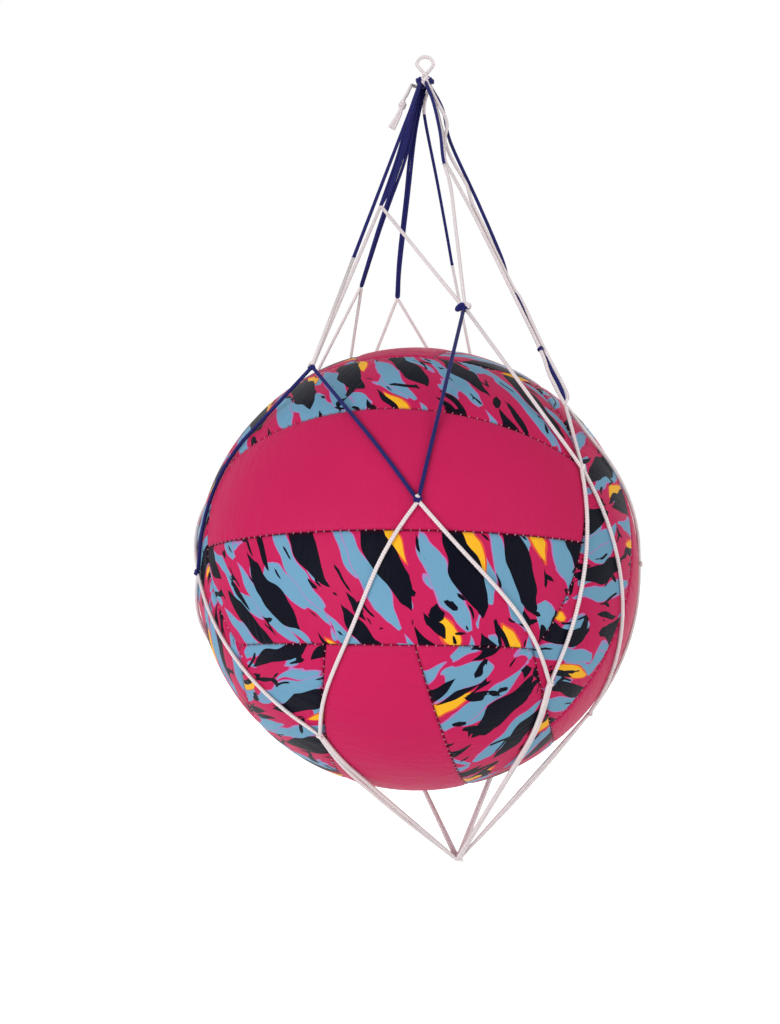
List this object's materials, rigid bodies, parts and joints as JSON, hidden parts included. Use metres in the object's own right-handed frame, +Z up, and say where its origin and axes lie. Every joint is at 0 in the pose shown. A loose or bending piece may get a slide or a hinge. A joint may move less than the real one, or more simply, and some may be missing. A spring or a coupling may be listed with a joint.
{
  "type": "volleyball in a carry net",
  "caption": "Soft sewn volleyball with plain pink and camouflage printed panel strips, hanging by a loop in a knotted blue and white cord carry net in which it swings and turns.",
  "frame": {"origin": "the point where the hanging loop bears on its hook, straight above the ball's centre", "axes": "+Z up along the line the ball hangs on, -Y out of the front of the ball, +X to the right of someone who looks at the front"},
  "size_m": [0.2116, 0.2124, 0.3947],
  "materials": {
    "pink_cover": "soft grained synthetic leather, satin",
    "printed_cover": "soft grained synthetic leather with a pink, light blue, black and yellow print, satin",
    "foam": "matt closed-cell foam sheet",
    "cloth": "woven cotton and polyester",
    "black_rubber": "matt",
    "white_cord": "braided polyester cord",
    "blue_cord": "braided polyester cord"
  },
  "bodies": {
    "hanger": {"hanging_loop": "white_cord"},
    "neck": {"gathering_knot": "blue_cord"},
    "net": {"blue_hanging_loops": "blue_cord", "white_hanging_loops": "white_cord", "blue_hanging_strands": "blue_cord", "blue_front_meshes": "blue_cord", "white_front_meshes": "white_cord", "rear_meshes": "white_cord", "lower_meshes": "white_cord", "closing_meshes": "white_cord", "rear_hanging_loops": "white_cord", "bottom_knot": "white_cord", "drawstring_tail": "white_cord"},
    "ball": {"front_lower_panel": "printed_cover", "front_middle_panel": "pink_cover", "front_upper_panel": "printed_cover", "back_lower_panel": "printed_cover", "back_middle_panel": "pink_cover", "back_upper_panel": "printed_cover", "right_rear_panel": "printed_cover", "right_middle_panel": "pink_cover", "right_front_panel": "printed_cover", "left_rear_panel": "printed_cover", "left_middle_panel": "pink_cover", "left_front_panel": "printed_cover", "top_left_panel": "printed_cover", "top_middle_panel": "pink_cover", "top_right_panel": "printed_cover", "bottom_left_panel": "printed_cover", "bottom_middle_panel": "pink_cover", "bottom_right_panel": "printed_cover", "front_lower_foam": "foam", "front_middle_foam": "foam", "front_upper_foam": "foam", "back_lower_foam": "foam", "back_middle_foam": "foam", "back_upper_foam": "foam", "right_rear_foam": "foam", "right_middle_foam": "foam", "right_front_foam": "foam", "left_rear_foam": "foam", "left_middle_foam": "foam", "left_front_foam": "foam", "top_left_foam": "foam", "top_middle_foam": "foam", "top_right_foam": "foam", "bottom_left_foam": "foam", "bottom_middle_foam": "foam", "bottom_right_foam": "foam", "cloth_lining": "cloth", "bladder": "black_rubber", "valve_patch": "cloth", "valve_stem": "black_rubber", "valve_plug": "black_rubber"}
  },
  "joints": [
    {"name": "swing_side", "type": "hinge", "parent": "hanger", "child": "neck", "pos_m": [0, 0, -0.012], "axis": [0, 1, 0], "range_deg": [-35, 35]},
    {"name": "swing_front", "type": "hinge", "parent": "neck", "child": "net", "pos_m": [0, 0, -0.012], "axis": [1, 0, 0], "range_deg": [-35, 35]},
    {"name": "ball_turn", "type": "hinge", "parent": "net", "child": "ball", "pos_m": [0, 0, -0.248], "axis": [0, 0, 1], "continuous": true}
  ]
}
